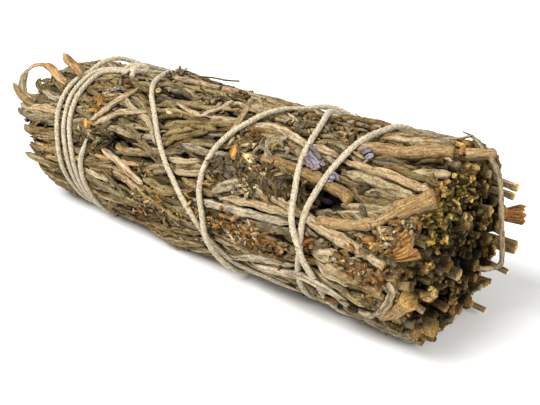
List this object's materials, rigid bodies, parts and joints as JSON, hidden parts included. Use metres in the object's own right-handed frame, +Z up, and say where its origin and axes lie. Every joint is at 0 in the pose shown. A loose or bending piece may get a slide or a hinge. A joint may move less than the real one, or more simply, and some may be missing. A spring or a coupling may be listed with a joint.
{
  "type": "lavender smudge stick",
  "caption": "Dried lavender sprigs laid side by side in a tapered round bundle and bound criss-cross with cotton twine, lying on its side.",
  "frame": {"origin": "bottom centre of the bounding box, on the surface the bundle lies on", "axes": "+X along the bundle towards the cut stems, +Z up"},
  "size_m": [0.1058, 0.0388, 0.035],
  "materials": {
    "dried_leaf": "dry felted grey-olive leaf",
    "dried_flower": "dry papery brown calyx",
    "woody_stem": "dry tan bark",
    "cotton_twine": "soft twisted cotton"
  },
  "bodies": {
    "root": {"core_sprig": "woody_stem", "inner_sprig_01": "woody_stem", "inner_sprig_02": "woody_stem", "inner_sprig_03": "woody_stem", "inner_sprig_04": "woody_stem", "inner_sprig_05": "woody_stem", "inner_sprig_06": "woody_stem", "middle_sprig_01": "woody_stem", "middle_sprig_02": "woody_stem", "middle_sprig_03": "woody_stem", "middle_sprig_04": "woody_stem", "middle_sprig_05": "woody_stem", "middle_sprig_06": "woody_stem", "middle_sprig_07": "woody_stem", "middle_sprig_08": "woody_stem", "middle_sprig_09": "woody_stem", "middle_sprig_10": "woody_stem", "middle_sprig_11": "woody_stem", "middle_sprig_12": "woody_stem", "underside_sprig_01": "dried_leaf", "underside_sprig_02": "dried_leaf", "leafy_sprig_03": "dried_leaf", "flowering_sprig_04": "dried_flower", "flowering_sprig_05": "dried_flower", "woody_sprig_06": "woody_stem", "flowering_sprig_07": "dried_flower", "leafy_sprig_08": "dried_leaf", "woody_sprig_09": "woody_stem", "woody_sprig_10": "woody_stem", "leafy_sprig_11": "dried_leaf", "flowering_sprig_12": "dried_flower", "leafy_sprig_13": "dried_leaf", "leafy_sprig_14": "dried_leaf", "flowering_sprig_15": "dried_flower", "leafy_sprig_16": "dried_leaf", "underside_sprig_17": "dried_leaf", "underside_sprig_18": "dried_leaf", "binding_twine": "cotton_twine", "hooked_stem": "woody_stem"}
  },
  "joints": []
}
